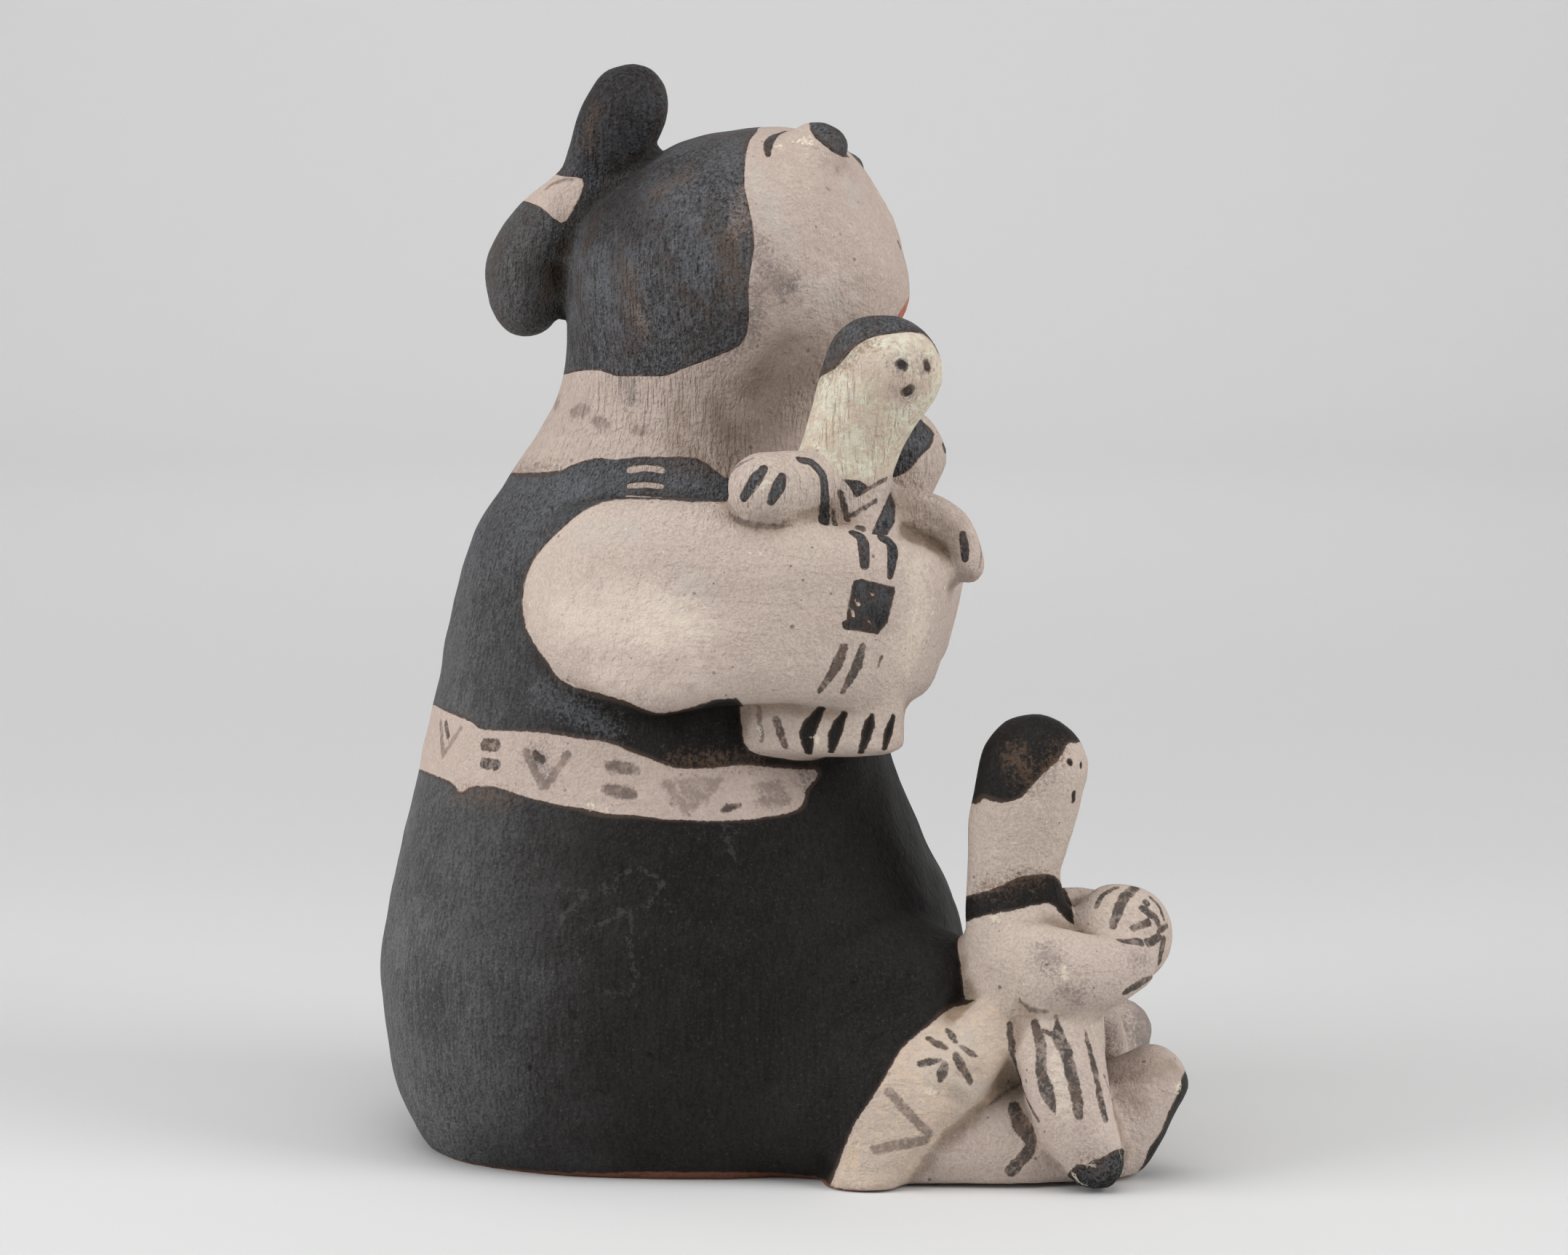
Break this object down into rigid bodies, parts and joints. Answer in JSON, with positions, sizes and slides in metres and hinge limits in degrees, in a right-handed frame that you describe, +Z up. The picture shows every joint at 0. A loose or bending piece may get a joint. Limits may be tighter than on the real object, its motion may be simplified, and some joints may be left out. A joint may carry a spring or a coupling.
{
  "type": "pueblo storyteller figure",
  "caption": "Seated clay storyteller woman with her head tilted back and children in her arms and on her leg, resting on a flat underside.",
  "frame": {"origin": "on the underside, below the middle of the figure's bounding box", "axes": "+Z up; the figure faces -Y; its right side is at -X"},
  "size_m": [0.1202, 0.183, 0.2402],
  "materials": {
    "fired_clay": "matte slip-painted fired clay with black and brown paint"
  },
  "bodies": {
    "root": {"storyteller_figure": "fired_clay"}
  },
  "joints": []
}
